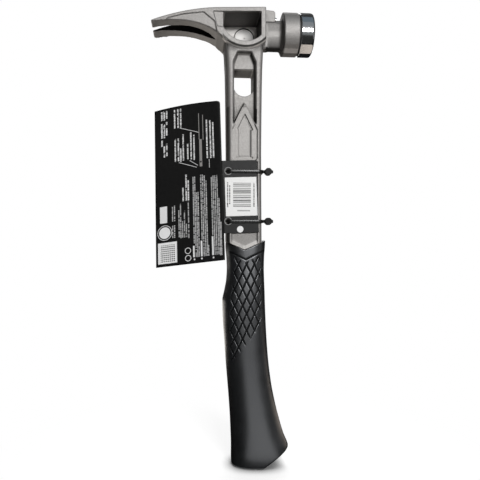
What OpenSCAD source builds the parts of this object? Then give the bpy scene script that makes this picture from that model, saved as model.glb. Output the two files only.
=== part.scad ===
// Framing hammer with a one-piece titanium head and handle, a replaceable steel
// striking face, a moulded rubber grip and a folded card tag held on by two ties.
// It stands on its butt. The origin is on the butt's flat, under the handle's axis.
// +Z runs up the handle, +X points to the striking face and -X to the claws.
// The open side of the head's pocket faces -Y. All lengths are millimetres.

/* [Head] */
// Height of the striking axis above the butt
axis_z = 429.4; // [420:0.1:440]
// Thickness of the head from side to side
head_t = 43; // [40:0.5:46]
// Reach of the cheek from the handle's axis towards the striking face
cheek_reach = 20.8; // [19.5:0.1:23]
// Height of the crown above the striking axis
crown_rise = 18.4; // [17:0.1:20]
// Height of the crown's dome across the head
crown_dome = 2; // [1:0.1:3]
// Radius of the cheek's round lower rim
rim_r = 27; // [26:0.1:28]
// Fillet under the cheek's rim
rim_fillet = 2.6; // [1.5:0.1:3]

/* [Claws] */
// Reach of the claw tips from the handle's axis
claw_reach = 89.6; // [84:0.1:94]
// Drop of the claws' back from the crown to the tips
claw_drop = 14.5; // [12:0.1:16]
// Thickness of the claws at their tips
claw_tip_t = 1.2; // [0.8:0.1:2]
// Widest part of the nail slot between the claws
slot_w = 14.4; // [12:0.1:16]
// Depth of the panel sunk into each side of the claws
claw_panel_d = 1.2; // [0.6:0.1:2]

/* [Pocket] */
// Depth of the pocket from the open side of the head
pocket_d = 38.1; // [32:0.1:39]
// Width of the rim round the pocket's lower edge
rim_w = 4.1; // [3.5:0.1:4.5]
// Distance from the handle's axis to the pocket wall on the face side
pocket_front = 15.8; // [14.5:0.1:16.5]
// Distance from the handle's axis to the pocket wall on the claw side
pocket_back = 20.6; // [19:0.1:21.5]
// Thickness of the crown over the pocket
crown_t = 4.6; // [4:0.1:6]
// Depth of the step beside the pocket on the claw side
step_d = 1.2; // [0.6:0.1:2]
// Width of the step at its top
step_w = 10; // [6:0.1:11]
// Radius of the round seat milled into the pocket's floor
seat_r = 10.9; // [9:0.1:11.5]
// Depth of the round seat
seat_d = 0.8; // [0.4:0.1:1.2]

/* [Poll] */
// Length of the neck between the cheek and the collar
neck_len = 18; // [16:0.1:20]
// Height of the neck
neck_h = 29.1; // [28:0.1:30]
// Thickness of the neck from side to side
neck_t = 18; // [16.5:0.1:20]
// Drop of the neck's middle below the striking axis
neck_drop = 2.1; // [1.8:0.1:2.4]
// Length of the round collar
collar_len = 15.6; // [14:0.1:18]
// Radius of the collar and of the striking face
poll_r = 21.2; // [20.5:0.1:22]
// Depth of the flats on the collar and the striking face
flat_d = 0.75; // [0.4:0.05:1]
// Chamfer at both ends of the collar
collar_chamfer = 0.7; // [0.3:0.1:1]
// Radius of the face's thread
thread_r = 6; // [5:0.5:7]
// Radius of the fillet from the neck out to the collar
neck_fillet = 4; // [2:0.1:4]
// Depth of the tapped hole in the collar and neck
thread_depth = 27; // [22:0.5:29]

/* [Striking face] */
// Length of the steel striking face
face_len = 14.4; // [12:0.1:16]
// Bevel round the striking face
face_bevel = 2.6; // [1.5:0.1:3.5]
// Thickness of the washer between the collar and the face
washer_t = 1.3; // [1:0.1:2]
// Distance that the washer lies inside the collar's edge
washer_inset = 1.2; // [0.8:0.1:2]
// Depth of the socket in the face that holds the stud
stud_seat = 8; // [6:0.5:9]
// Radial clearance round the stud
stud_gap = 0.05; // [0.03:0.01:0.08]

/* [Nail starter] */
// Length of the block between the cheek and the notch
block_len = 10.4; // [9.5:0.1:11]
// Width of the block from side to side
block_w = 20; // [18:0.5:24]
// Height of the block above the striking axis
block_rise = 20.4; // [19:0.1:21]
// Radius of the magnet set into the block
magnet_r = 1.9; // [1.6:0.1:2]
// Length of the magnet that stands out of the block
magnet_out = 2.6; // [1.5:0.1:3.5]
// Depth of the magnet's hole
magnet_seat = 5; // [4:0.5:7]
// Glue line round the magnet
magnet_glue = 0.1; // [0.08:0.01:0.2]

/* [Handle] */
// Width of the handle at its waist
shaft_w = 33.3; // [31:0.1:36]
// Thickness of the handle from side to side
shaft_t = 35; // [33:0.5:36]
// Radius of the handle's long corners
shaft_corner = 4.5; // [3:0.1:6]
// Depth of the upper sunk panel on the open side
panel_d = 7; // [5:0.1:9]
// Width of the upper sunk panel at its rim
panel_w = 22.8; // [21:0.1:24]
// Lean of the sunk panel's walls, as a width across the depth
panel_draft = 1.7; // [1:0.1:2]
// Width of the window through the handle
window_w = 19.4; // [16:0.1:19.6]
// Height of the window at its middle
window_h = 26.2; // [22:0.1:29]
// Depth of the plain field sunk into the raised arrow
field_d = 0.9; // [0.4:0.1:1.5]
// Width of the plain field
field_w = 12; // [10:0.1:14]
// Depth of the lower sunk panel above the grip
lower_d = 1.8; // [1:0.1:2.5]

/* [Grip] */
// Height of the grip at its upper corners
grip_h = 221.2; // [210:0.1:230]
// Depth of the notch in the grip's upper edge
notch_h = 8; // [6:0.1:10]
// Width of the grip below its upper edge
grip_w = 36.2; // [35:0.1:38]
// Thickness of the grip from side to side
grip_t = 37.6; // [36.6:0.1:40]
// Reach of the butt's toe from the handle's axis
toe_reach = 44.8; // [42:0.1:48]
// Height of the toe above the butt's flat
toe_h = 17.4; // [14:0.1:20]
// Width of the handle's core inside the grip
core_w = 20; // [16:0.5:22]
// Thickness of the handle's core inside the grip
core_t = 22; // [18:0.5:26]
// Bond line between the rubber and the metal
bond = 0.1; // [0.05:0.01:0.2]

/* [Tag] */
// Thickness of the card
card_t = 0.9; // [0.6:0.1:1.2]
// Height of the flap that the ties hold against the handle
flap_h = 70; // [66:0.5:76]
// Width of the flap from the fold to its free edge
flap_w = 34; // [30:0.5:36]
// Height of the flap's lower edge above the grip's upper corners
flap_gap = 8; // [2:0.1:12]
// Width of the tag's large panel
tag_w = 67.2; // [50:0.1:72]
// Height of the tag's large panel
tag_h = 153.3; // [140:0.1:156]
// Height of the large panel's middle above the flap's middle
tag_rise = 16; // [10:0.1:22]
// Angle by which the large panel folds back from the flap
tag_fold = 15; // [5:1:30]
// Lean of the whole card from upright
tag_lean = 1.9; // [0:0.1:3]
// Thickness of the paper label on the flap
label_t = 0.3; // [0.2:0.05:0.5]
// Height of the paper label
label_h = 37.4; // [34:0.1:40]
// Width of the paper label
label_w = 30.6; // [26:0.1:31]

/* [Ties] */
// Width of each tie's strap
strap_w = 4; // [3:0.1:5]
// Thickness of each tie's strap
strap_t = 1.3; // [1:0.1:1.6]
// Length of each tie's head
tie_head = 7; // [6:0.1:8]
// Height of the upper tie's middle above the flap's middle
upper_tie_rise = 25.1; // [22:0.1:27]
// Drop of the lower tie's middle below the flap's middle
lower_tie_drop = 23.2; // [22:0.1:26]

/* [Hidden] */
$fn = 72;

// Overrun of every cut past the face that it opens
over = 1;
half = head_t / 2;

// Places along the striking axis, counted from the handle's axis
collar_x = cheek_reach + neck_len;
washer_x = collar_x + collar_len;
face_x = washer_x + washer_t;
strike_x = face_x + face_len;

// Claw outline
claw_root_share = 0.307;
claw_root = claw_reach * claw_root_share;
crown_fall_share = 0.11;
back_slope_share = 0.32;
arch_rise_share = 0.18;
arch_x_share = 0.742;
arch_fall_share = 0.875;
arch_power_share = 2.5;
arch_tip_share = 0.13;
rim_centre_share = 0.425;
rim_start_share = 0.71;
rim_lift_start_share = 2.5;
rim_lift_share = 1.35;

// Height of the crown above the striking axis at the claws' root
root_rise = crown_rise * (1 - crown_fall_share);
arch_x = -claw_reach * arch_x_share;
arch_z = crown_rise * arch_rise_share;
rim_z = crown_rise * rim_centre_share;
// Where the rim's arc takes over from the claws' arch
rim_x = -claw_root * rim_start_share;

function mix(a, b, t) = a + (b - a) * t;
function ease(t) = t <= 0 ? 0 : t >= 1 ? 1 : t * t * (3 - 2 * t);

// Height of the claws' back over the striking axis at a place t from root to tip
function back_z(t) = root_rise - claw_drop * (back_slope_share * t + (1 - back_slope_share) * t * t);
// Height of the claws' arch at x, falling faster towards the handle than to the tips
function arch_at(x) =
    let (span = rim_x - arch_x, out = claw_reach + arch_x)
    x > arch_x
        ? arch_z - crown_rise * arch_fall_share * pow((x - arch_x) / span, arch_power_share)
        : arch_z - crown_rise * arch_tip_share * pow((arch_x - x) / out, 2);
// How far the rim's edge lifts above the arch at x
function rim_lift(x) = rim_fillet * ease((rim_x * rim_lift_start_share - x) / (rim_x * rim_lift_share));

under_steps = 10;
arc_steps = 12;
back_steps = 9;

// Outline of the head seen from the open side, counter-clockwise from the tips' underside
// edge is 1 at the outer side faces and 0 where the fillet ends, dome is the crown's rise there
function head_outline(edge, dome) =
    let (
        r = rim_r + rim_fillet * (1 - edge),
        inset = rim_fillet * edge * edge_inset_share,
        right = cheek_reach - inset,
        a0 = asin(rim_x / r),
        a1 = asin(right / r),
        tip_z = back_z(1) - claw_tip_t
    )
    concat(
        [for (k = [0:under_steps - 1])
            let (x = mix(-claw_reach + inset, rim_x, k / under_steps))
            [x, axis_z + min(arch_at(x) + edge * rim_lift(x), k == 0 ? tip_z : crown_rise)]],
        [for (k = [0:arc_steps])
            let (a = mix(a0, a1, k / arc_steps))
            [r * sin(a), axis_z + rim_z - r * cos(a)]],
        [[right, axis_z + crown_rise - inset + dome]],
        [[right - rim_fillet * corner_share, axis_z + crown_rise - inset * corner_share + dome]],
        [for (k = [0:back_steps])
            let (t = k / back_steps, x = mix(-claw_root, -claw_reach + inset, t))
            [x, axis_z + back_z(t) - inset * (1 - t) * corner_share + dome * (1 - t)]]
    );
edge_inset_share = 0.3;
corner_share = 0.5;
// Rings across the head: distance from the middle and edge share
head_ring_shares = [[1, 1], [0.96, 0.4], [0.87, 0], [0.45, 0]];
head_rings = concat(
    [for (s = head_ring_shares) [half * s[0], s[1]]],
    [for (k = [len(head_ring_shares) - 1:-1:0]) [-half * head_ring_shares[k][0], head_ring_shares[k][1]]]
);

// Nail slot: place from the throat to the tips, and half width
slot_shares = [[0, 0.06], [0.09, 0.66], [0.19, 0.86], [0.3, 0.98], [0.42, 1], [0.56, 0.9],
               [0.7, 0.79], [0.84, 0.65], [1.06, 0.56]];
slot_len = claw_reach - claw_root;

// Claw side panel: places from the root to the tips, and heights as shares of the crown
claw_panel_shares = [[-0.02, -0.55], [0.02, 0.15], [0.197, 0.614], [0.49, 0.478], [0.76, 0.23], [0.76, -0.55]];

// Nail-start block: corner cut as shares of its length, and its floor as a share of its rise
block_top_share = 0.06;
block_nose_share = 0.22;
block_step_share = 0.18;
block_floor_share = 0.42;

// Neck, rounder above than below, its lower sides leaning in
neck_top_share = 0.36;
neck_foot_share = 0.16;
neck_waist_share = 0.1;
neck_lean = 12;
neck_z = axis_z - neck_drop;
neck_top_r = neck_t * neck_top_share;
neck_foot_r = neck_t * neck_foot_share;
neck_waist = -neck_h * neck_waist_share;
neck_foot_z = neck_foot_r - neck_h / 2;
// Middle of the lower edges' rounding, which the leaning sides touch
neck_foot_y = neck_t / 2
    - (neck_foot_r + (neck_waist - neck_foot_z) * sin(neck_lean)) / cos(neck_lean);
neck_steps = 4;

// The magnet lies just over the neck's top
magnet_lift = 0.4;
magnet_z = neck_z + neck_h / 2 + magnet_r + magnet_lift;
fillet_steps = 4;

// Handle: height as a share of the way from its foot to the striking axis, and width as a
// share of the waist
shaft_shares = [[0.937, 1.17], [0.907, 1.12], [0.872, 1.098], [0.815, 1.063], [0.732, 1.039],
                [0.659, 1.027], [0.567, 1.015], [0.449, 1], [0.252, 1.008], [0.134, 1.02], [0, 1.027]];
shaft_corner_steps = 4;
shaft_foot_z = grip_h - notch_h - 2 * over;

// Upper sunk panel
panel_top_share = 1.28;
panel_shoulder_share = 0.43;
panel_head_share = 0.61;
window_top_share = 2.14;
window_arc_share = 0.36;
arrow_top_share = 4.02;
arrow_arm_share = 0.98;
pad_share = 2.44;
field_top_share = 0.455;
field_arm_share = 0.66;
field_wide_share = 0.62;
bevel_share = 0.55;
panel_top_z = axis_z - crown_rise * panel_top_share;
panel_shoulder = panel_w * panel_shoulder_share;
panel_top_w = panel_w * panel_head_share;
panel_floor_y = panel_d - shaft_t / 2;
window_top_z = axis_z - crown_rise * window_top_share;
arrow_z = axis_z - crown_rise * arrow_top_share;
arrow_h = panel_w * arrow_arm_share;
arrow_foot_z = arrow_z - arrow_h - over;
pad_z = arrow_z - panel_w * pad_share;

// Lower sunk panel
lower_w = shaft_w - shaft_corner * 2 + lower_d;
lower_bevel_h = notch_h * bevel_share;

// Grip: height as a share of the grip's, and the places of both sides as shares of half its width
grip_shares = [[0, -0.66, 2.72], [0.045, -0.675, 2.6], [0.085, -0.67, 2.48], [0.14, -0.69, 2.21],
               [0.2, -0.72, 1.99], [0.28, -0.78, 1.74], [0.37, -0.865, 1.525], [0.47, -0.965, 1.37],
               [0.57, -1.045, 1.275], [0.65, -1.115, 1.225], [0.735, -1.145, 1.185], [0.78, -1.04, 1.17],
               [0.83, -0.93, 1.145], [0.88, -0.895, 1.13], [0.93, -0.92, 1.145], [0.98, -0.97, 1.19],
               [1, -0.965, 1.2]];
grip_depth_shares = [0.93, 1];
grip_power_share = 3.3;
grip_lip_share = 0.9;
toe_foot_share = 0.415;
core_shift_share = 0.1;
grip_steps = 28;
toe_foot = toe_reach * toe_foot_share;
core_end_z = toe_h;

// Tag
fold_out_share = 1.05;
fold_gap_share = 0.65;
tag_skew_share = 0.088;
tag_taper_share = 0.03;
flap_z = grip_h + flap_gap + flap_h / 2;
tag_z = flap_z + tag_rise;
fold_x = -(shaft_w / 2 + shaft_corner * fold_out_share);
flap_y = -(shaft_t / 2 + card_t);
fold_y = flap_y + card_t / 2;
fold_gap = card_t * fold_gap_share;
tag_corner = 3;
label_shift = 2.6;

// Ties
tie_hole_in_share = 0.19;
tie_hole_share = 0.75;
tie_hole_x = -(shaft_w / 2 - strap_w * tie_hole_in_share);
tie_hole_r = strap_w * tie_hole_share;
tie_clear = 0.6;
tie_reach = 2.4;
upper_tie_z = flap_z + upper_tie_rise;
lower_tie_z = flap_z - lower_tie_drop;

// A solid through rings of points that all have the same count
module skin(rings) {
    n = len(rings[0]);
    m = len(rings);
    polyhedron(
        points = [for (ring = rings) for (p = ring) p],
        faces = concat(
            [[for (i = [0:n - 1]) i]],
            [for (k = [0:m - 2]) for (i = [0:n - 1])
                [k * n + i, (k + 1) * n + i, (k + 1) * n + (i + 1) % n]],
            [for (k = [0:m - 2]) for (i = [0:n - 1])
                [k * n + i, (k + 1) * n + (i + 1) % n, k * n + (i + 1) % n]],
            [[for (i = [n - 1:-1:0]) (m - 1) * n + i]]
        )
    );
}

// Outline points, drawn in x and z, placed at one y
function at_y(points, y) = [for (p = points) [p[0], y, p[1]]];

// A flat outline in x and z, given thickness from y0 to y1
module slab(y0, y1) {
    translate([0, y1, 0])
        rotate([90, 0, 0])
            linear_extrude(y1 - y0)
                children();
}

// A round bar or hole along X
module round_x(x0, x1, r, z = axis_z) {
    translate([x0, 0, z])
        rotate([0, 90, 0])
            cylinder(h = x1 - x0, r = r);
}

// A cone frustum along X
module cone_x(x0, x1, r0, r1) {
    translate([x0, 0, axis_z])
        rotate([0, 90, 0])
            cylinder(h = x1 - x0, r1 = r0, r2 = r1);
}

// Three flats above and three below, cut into the round section of the collar and the face
flat_angle = 31;
module poll_flats(x0, x1) {
    for (side = [-90, 90])
        for (turn = [-flat_angle, 0, flat_angle])
            translate([x0, 0, axis_z])
                rotate([side + turn, 0, 0])
                    translate([0, poll_r - flat_d, -poll_r])
                        cube([x1 - x0, poll_r, 2 * poll_r]);
}

// Head with claws, before its pocket and panels are cut
module head_body() {
    skin([for (ring = head_rings)
        at_y(head_outline(ring[1], crown_dome * (1 - pow(ring[0] / half, 2))), ring[0])]);
}

// Gap between the two claws
module nail_slot() {
    upper = [for (s = slot_shares) [-claw_root - slot_len * s[0], slot_w / 2 * s[1]]];
    lower = [for (k = [len(slot_shares) - 1:-1:0]) [upper[k][0], -upper[k][1]]];
    translate([0, 0, axis_z - crown_rise])
        linear_extrude(2 * crown_rise + crown_dome + over)
            polygon(concat(upper, lower));
}

// Sunk panel on each side of the claws, open at the claws' underside
module claw_panels() {
    for (side = [-1, 1])
        translate([0, side * half, 0])
            slab(-claw_panel_d, claw_panel_d)
                polygon([for (s = claw_panel_shares)
                    [-claw_root - slot_len * s[0], axis_z + crown_rise * s[1]]]);
}

// Lower edge of the pocket, an arc inside the rim's arc
function pocket_arc(x0, x1) =
    let (r = rim_r - rim_w)
    [for (k = [0:arc_steps])
        let (a = mix(asin(x0 / r), asin(x1 / r), k / arc_steps))
        [r * sin(a), axis_z + rim_z - r * cos(a)]];

module pocket() {
    roof_z = axis_z + crown_rise - crown_t;
    floor_y = pocket_d - half;
    slab(-half - over, floor_y)
        polygon(concat(pocket_arc(-pocket_back, pocket_front),
                       [[pocket_front, roof_z], [-pocket_back, roof_z - crown_rise * step_fall_share]]));
    // Step beside the pocket
    slab(-half - over, step_d - half)
        polygon([[-pocket_back, axis_z + rim_z - (rim_r - rim_w) * step_foot_share],
                 [-pocket_back, roof_z - crown_rise * step_fall_share],
                 [-pocket_back - step_w, roof_z - crown_rise * step_fall_share],
                 [-pocket_back - step_w * step_waist_share, axis_z - crown_rise * step_waist_z_share]]);
    // Round seat in the floor
    translate([cheek_reach * seat_x_share, floor_y - over, axis_z + crown_rise * seat_z_share])
        rotate([-90, 0, 0])
            cylinder(h = seat_d + over, r = seat_r);
}
step_fall_share = 0.07;
step_foot_share = 0.46;
step_waist_share = 0.62;
step_waist_z_share = 0.1;
seat_x_share = 0.125;
seat_z_share = 0.08;

// Neck with rounded long edges
module neck() {
    x0 = cheek_reach - neck_t / 2;
    reach = collar_x - x0 + collar_len / 2;
    side = neck_foot_y + neck_foot_r * cos(neck_lean);
    side_z = neck_foot_z - neck_foot_r * sin(neck_lean);
    translate([x0, 0, neck_z])
        rotate([90, 0, 90])
            linear_extrude(reach)
                union() {
                    polygon([[neck_top_r - neck_t / 2, neck_h / 2], [-neck_t / 2, neck_h / 2 - neck_top_r],
                             [-neck_t / 2, neck_waist], [-side, side_z],
                             [-neck_foot_y, -neck_h / 2], [neck_foot_y, -neck_h / 2],
                             [side, side_z], [neck_t / 2, neck_waist],
                             [neck_t / 2, neck_h / 2 - neck_top_r], [neck_t / 2 - neck_top_r, neck_h / 2]]);
                    for (sx = [-1, 1]) {
                        translate([sx * (neck_t / 2 - neck_top_r), neck_h / 2 - neck_top_r])
                            circle(r = neck_top_r);
                        translate([sx * neck_foot_y, neck_foot_z])
                            circle(r = neck_foot_r);
                    }
                }
}

// A quarter of the neck's section at x, grown evenly: rounded about cy, cz from one turn to the other
function neck_quarter(x, cy, cz, r, from, to) =
    [for (k = [0:neck_steps])
        let (turn = mix(from, to, k / neck_steps))
        [x, cy + r * cos(turn), neck_z + cz + r * sin(turn)]];

// Points of the neck's section, grown evenly, at one place along the striking axis
function neck_ring(grow, x) =
    let (
        top_y = neck_t / 2 - neck_top_r,
        top_z = neck_h / 2 - neck_top_r,
        waist_y = neck_t / 2 + grow,
        waist_z = neck_z + neck_waist - grow * tan(neck_lean / 2)
    )
    concat(
        neck_quarter(x, top_y, top_z, neck_top_r + grow, 0, 90),
        neck_quarter(x, -top_y, top_z, neck_top_r + grow, 90, 180),
        [[x, -waist_y, waist_z]],
        neck_quarter(x, -neck_foot_y, neck_foot_z, neck_foot_r + grow, 180 + neck_lean, 270),
        neck_quarter(x, neck_foot_y, neck_foot_z, neck_foot_r + grow, 270, 360 - neck_lean),
        [[x, waist_y, waist_z]]
    );

// Fillet from the neck out to the collar
module collar_fillet() {
    skin(concat([for (k = [0:fillet_steps])
        let (turn = fillet_start + (90 - fillet_start) * k / fillet_steps)
        neck_ring(neck_fillet * (1 - cos(turn)) - fillet_root, collar_x - neck_fillet * (1 - sin(turn)))],
        [neck_ring(neck_fillet - fillet_root, collar_x + collar_chamfer)]));
}
fillet_start = 8;
fillet_root = 0.1;

// Round collar with chamfered ends
module collar() {
    difference() {
        union() {
            cone_x(collar_x, collar_x + collar_chamfer, poll_r - collar_chamfer, poll_r);
            round_x(collar_x + collar_chamfer, washer_x - collar_chamfer, poll_r);
            cone_x(washer_x - collar_chamfer, washer_x, poll_r, poll_r - collar_chamfer);
        }
        poll_flats(collar_x - over, washer_x + over);
    }
}

// Block beside the cheek that carries the magnet
module nail_block() {
    top = axis_z + block_rise;
    end = cheek_reach + block_len;
    slab(-block_w / 2, block_w / 2)
        polygon([[cheek_reach - neck_t / 4, axis_z + block_rise * block_floor_share],
                 [end, axis_z + block_rise * block_floor_share],
                 [end, top - block_len * block_nose_share],
                 [end - block_len * block_step_share, top - block_len * block_top_share],
                 [cheek_reach - neck_t / 4, top]]);
}

// Points of a rounded rectangle section at one height
function shaft_ring(w, z) =
    let (a = w / 2 - shaft_corner, b = shaft_t / 2 - shaft_corner)
    [for (q = [0:3]) for (k = [0:shaft_corner_steps])
        let (
            turn = q * 90 + k * 90 / shaft_corner_steps,
            cx = (q == 0 || q == 3) ? a : -a,
            cy = (q == 0 || q == 1) ? b : -b
        )
        [cx + shaft_corner * cos(turn), cy + shaft_corner * sin(turn), z]];

// The grip's upper edge and the handle's lower edge meet along this notch
module notch_wedge(drop) {
    wide = shaft_w;
    slab(-shaft_t, shaft_t)
        polygon([[0, grip_h - notch_h - drop],
                 [wide, grip_h - drop + notch_h * (wide * 2 / grip_w - 1)],
                 [wide, axis_z],
                 [-wide, axis_z],
                 [-wide, grip_h - drop + notch_h * (wide * 2 / grip_w - 1)]]);
}

module shaft_body() {
    intersection() {
        skin([for (k = [len(shaft_shares) - 1:-1:0])
            shaft_ring(shaft_w * shaft_shares[k][1], mix(shaft_foot_z, axis_z, shaft_shares[k][0]))]);
        notch_wedge(0);
    }
}

// How far the upper sunk panel's walls have leaned in at y
function lean_in(y) = panel_draft * (y + shaft_t / 2) / panel_d;

function panel_outline(y) =
    let (
        w = panel_w / 2 - lean_in(y),
        top_w = panel_top_w / 2 - lean_in(y) * panel_head_share,
        top = panel_top_z - lean_in(y)
    )
    [[-top_w, top], [-w, top - panel_shoulder], [-w, arrow_foot_z], [w, arrow_foot_z],
     [w, top - panel_shoulder], [top_w, top]];

// The raised arrow that closes the panel below, wider than the panel
function arrow_outline(y) =
    let (top = arrow_z + lean_in(y), arm = top - arrow_h * shaft_w / panel_w)
    [[0, top], [-shaft_w / 2, arm], [-shaft_w / 2, arrow_foot_z - 2 * over],
     [shaft_w / 2, arrow_foot_z - 2 * over], [shaft_w / 2, arm]];

module upper_panel() {
    front = -shaft_t / 2 - over;
    difference() {
        skin([at_y(panel_outline(panel_floor_y), panel_floor_y), at_y(panel_outline(front), front)]);
        skin([at_y(arrow_outline(panel_floor_y + over), panel_floor_y + over),
              at_y(arrow_outline(front - over), front - over)]);
    }
}

// Window through the handle, straight on top and round below
module window() {
    arc_h = window_w * window_arc_share;
    slab(panel_floor_y - over, half + over)
        intersection() {
            translate([-window_w / 2, window_top_z - window_h])
                square([window_w, window_h]);
            translate([0, window_top_z - window_h + window_arc_r(arc_h)])
                union() {
                    circle(r = window_arc_r(arc_h));
                    translate([-window_w, 0])
                        square([2 * window_w, window_h]);
                }
        }
}
function window_arc_r(h) = (window_w * window_w / 4 + h * h) / (2 * h);

// Plain field with a pointed top, sunk into the arrow
module arrow_field() {
    top = arrow_z - panel_w * field_top_share;
    arm = top - panel_w * field_arm_share;
    wide = field_w * field_wide_share;
    slab(-shaft_t / 2 - over, field_d - shaft_t / 2)
        polygon([[0, top],
                 [-wide, arm],
                 [-field_w / 2, arm],
                 [-field_w / 2, pad_z + field_w / 3],
                 [field_w / 2, pad_z + field_w / 3],
                 [field_w / 2, arm],
                 [wide, arm]]);
}

// Lower sunk panel, from the arrow's foot to the slope above the grip
function lower_outline(inset) =
    let (w = lower_w / 2 - inset / 2, foot = grip_h + notch_h * (lower_w / grip_w - 1))
    [[w, pad_z - inset],
     [-w, pad_z - inset],
     [-w, foot + inset * lower_bevel_h / lower_d],
     [0, grip_h - notch_h + inset * lower_bevel_h / lower_d],
     [w, foot + inset * lower_bevel_h / lower_d]];

module lower_panel() {
    skin([at_y(lower_outline(lower_d), lower_d - shaft_t / 2),
          at_y(lower_outline(-over), -over - shaft_t / 2)]);
}

// Core that runs down inside the grip
module core(grow) {
    translate([core_w * core_shift_share, 0, core_end_z - grow])
        linear_extrude(grip_h + grow - core_end_z)
            square([core_w + 2 * grow, core_t + 2 * grow], center = true);
}

module head_and_handle() {
    color([0.63, 0.61, 0.59])
        difference() {
            union() {
                difference() {
                    union() {
                        head_body();
                        shaft_body();
                        core(0);
                    }
                    pocket();
                    claw_panels();
                    upper_panel();
                    window();
                    arrow_field();
                    lower_panel();
                }
                difference() {
                    neck();
                    slab(-head_t, head_t)
                        translate([pocket_front - over - crown_t, axis_z - rim_r])
                            square([over + crown_t, 2 * rim_r]);
                }
                collar_fillet();
                collar();
                nail_block();
            }
            nail_slot();
            round_x(washer_x - thread_depth, washer_x + over, thread_r);
            round_x(cheek_reach + block_len - magnet_seat, cheek_reach + block_len + over,
                    magnet_r + magnet_glue, magnet_z);
        }
}

// Points of the grip's section at one height
function grip_ring(row, depth) =
    let (
        left = row[1] * grip_w / 2,
        right = row[2] * grip_w / 2,
        cx = (left + right) / 2,
        a = (right - left) / 2,
        b = grip_t / 2 * depth
    )
    [for (k = [0:grip_steps - 1])
        let (
            turn = k * 360 / grip_steps,
            c = cos(turn),
            s = sin(turn),
            p = 2 / grip_power_share
        )
        [cx + a * sign(c) * pow(abs(c), p), b * sign(s) * pow(abs(s), p), row[0] * grip_h]];

module grip() {
    color([0.16, 0.16, 0.17])
        difference() {
            skin([for (row = grip_shares)
                grip_ring(row, row[0] > grip_lip_share ? grip_depth_shares[0] : grip_depth_shares[1])]);
            // Slope under the toe
            slab(-grip_t, grip_t)
                polygon([[toe_foot, 0], [toe_foot, -over], [toe_reach * 2, -over],
                         [toe_reach * 2, toe_h * (toe_reach * 2 - toe_foot) / (toe_reach - toe_foot)]]);
            notch_wedge(bond);
            core(bond);
        }
}

module striking_face() {
    color([0.55, 0.57, 0.6])
        difference() {
            union() {
                round_x(face_x, strike_x - face_bevel, poll_r);
                cone_x(strike_x - face_bevel, strike_x, poll_r, poll_r - face_bevel);
            }
            poll_flats(face_x - over, strike_x + over);
            round_x(face_x - over, face_x + stud_seat, thread_r - stud_gap);
        }
}

module face_stud() {
    color([0.45, 0.46, 0.48])
        round_x(washer_x - thread_depth + over, face_x + stud_seat, thread_r - stud_gap);
}

module lock_washer() {
    color([0.08, 0.08, 0.08])
        difference() {
            round_x(washer_x, face_x, poll_r - washer_inset);
            round_x(washer_x - over, face_x + over, thread_r + stud_gap);
        }
}

module nail_magnet() {
    color([0.7, 0.7, 0.72])
        round_x(cheek_reach + block_len - magnet_seat + magnet_glue, cheek_reach + block_len + magnet_out,
                magnet_r, magnet_z);
}

// Leans the card about the fold, as it hangs on the handle
module lean() {
    translate([fold_x, 0, flap_z])
        rotate([0, -tag_lean, 0])
            translate([-fold_x, 0, -flap_z])
                children();
}

module tag_flap() {
    color([0.2, 0.2, 0.2])
        difference() {
            lean()
                translate([fold_x + fold_gap, flap_y, flap_z - flap_h / 2])
                    cube([flap_w - fold_gap, card_t, flap_h]);
            for (z = [upper_tie_z, lower_tie_z])
                translate([tie_hole_x, flap_y - over, z])
                    rotate([-90, 0, 0])
                        cylinder(h = card_t + 2 * over, r = tie_hole_r);
        }
}

// Large panel with its free edge dropped, as the card twists
module tag_panel() {
    drop = tag_w * tag_skew_share;
    color([0.13, 0.13, 0.13])
        lean()
            translate([fold_x, fold_y, tag_z])
                rotate([0, 0, -tag_fold])
                    slab(-card_t / 2, card_t / 2)
                        polygon([[0, -tag_h / 2],
                                 [0, tag_h / 2 - tag_corner],
                                 [-tag_corner, tag_h / 2],
                                 [-tag_w * (1 - tag_taper_share), tag_h / 2 - drop],
                                 [-tag_w * (1 + tag_taper_share), -tag_h / 2 - drop]]);
}

module tag_label() {
    color([0.95, 0.95, 0.95])
        lean()
            translate([fold_x + label_shift, flap_y - label_t, flap_z - label_h / 2])
                cube([label_w, label_t, label_h]);
}

// Outline of a strap's loop round the handle and the flap, seen from above
module loop_outline(grow) {
    w = shaft_w / 2 + tie_clear + grow;
    back = shaft_t / 2 + tie_clear + grow;
    front = shaft_t / 2 + card_t + label_t + tie_clear + grow;
    corner = shaft_corner + grow;
    translate([-w, corner - front])
        square([2 * w, front + back - 2 * corner]);
    translate([corner - w, -front])
        square([2 * (w - corner), front + back]);
    for (sx = [-1, 1]) {
        translate([sx * (w - corner), back - corner])
            circle(r = corner);
        translate([sx * (w - corner), corner - front])
            circle(r = corner);
    }
}

module tie(z) {
    color([0.1, 0.1, 0.1])
        translate([0, 0, z])
            union() {
                translate([0, 0, -strap_w / 2])
                    linear_extrude(strap_w)
                        difference() {
                            loop_outline(strap_t);
                            loop_outline(0);
                        }
                // Head of the tie, held off the handle's right corner by the strap's end
                translate([shaft_w / 2 + tie_clear, -shaft_t / 2 + strap_t, -strap_w / 2])
                    cube([tie_reach + strap_t, strap_t, strap_w]);
                translate([shaft_w / 2 + tie_clear + tie_reach, -shaft_t / 2 - strap_t, -tie_head / 2])
                    cube([tie_head, tie_head, tie_head]);
            }
}

module upper_tie() {
    tie(upper_tie_z);
}

module lower_tie() {
    tie(lower_tie_z);
}

head_and_handle();
grip();
striking_face();
face_stud();
lock_washer();
nail_magnet();
tag_flap();
tag_panel();
tag_label();
upper_tie();
lower_tie();
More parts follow.
